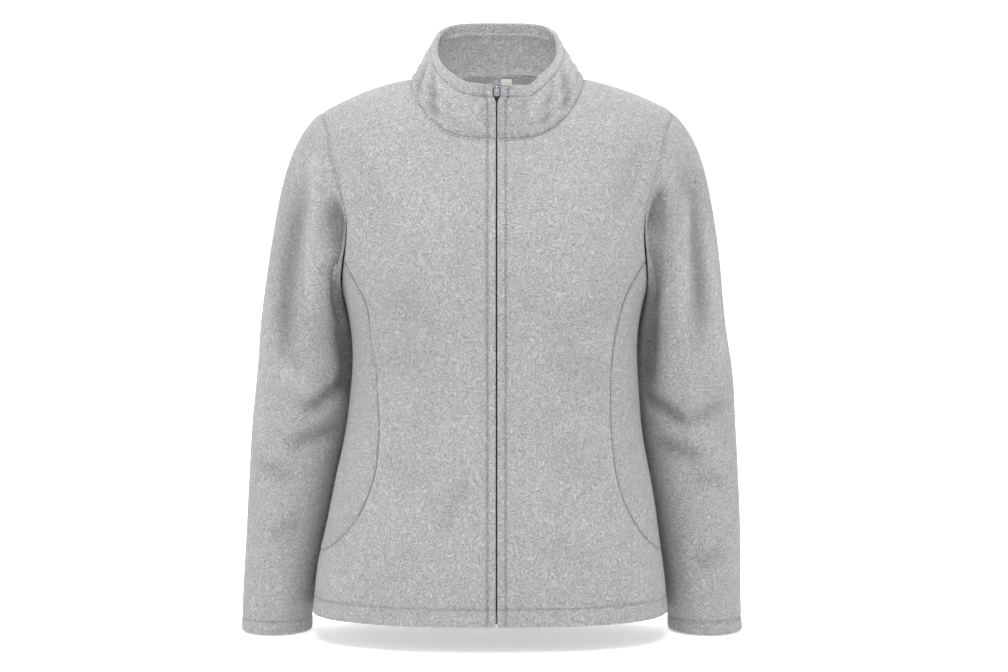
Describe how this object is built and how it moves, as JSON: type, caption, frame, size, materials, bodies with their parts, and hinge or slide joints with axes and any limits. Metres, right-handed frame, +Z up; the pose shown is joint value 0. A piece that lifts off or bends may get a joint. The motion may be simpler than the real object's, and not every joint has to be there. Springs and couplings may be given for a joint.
{
  "type": "fleece zip jacket",
  "caption": "Worn, hollow women's fleece jacket: stand collar, full-length zip, curved side-front seams with pockets, set-in sleeves.",
  "frame": {"origin": "where the wearer carries it: midway between the two points where the collar meets the shoulder seams", "axes": "+Z up, -Y toward the front (the zip), +X toward the wearer's left"},
  "size_m": [0.5886, 0.2412, 0.7137],
  "materials": {
    "fleece": "light heather-grey fleece with a short curly nap",
    "zip_tape": "dark woven tape",
    "zip_teeth": "dark moulded teeth",
    "zip_metal": "bright plated metal",
    "label_cloth": "blank cream woven tape"
  },
  "bodies": {
    "garment": {"front_left": "fleece", "front_right": "fleece", "side_front_left": "fleece", "side_front_right": "fleece", "back": "fleece", "sleeve_left": "fleece", "sleeve_right": "fleece", "collar": "fleece", "zip_tape_left": "zip_tape", "zip_tape_right": "zip_tape", "zip_chain": "zip_teeth", "zip_slider": "zip_metal", "zip_box": "zip_metal", "neck_label": "label_cloth"},
    "pull": {"zip_pull": "zip_metal"}
  },
  "joints": [
    {"name": "pull_hinge", "type": "hinge", "parent": "garment", "child": "pull", "pos_m": [0, -0.0851, -0.02504], "axis": [1, 0, 0], "range_deg": [0, 210]}
  ]
}
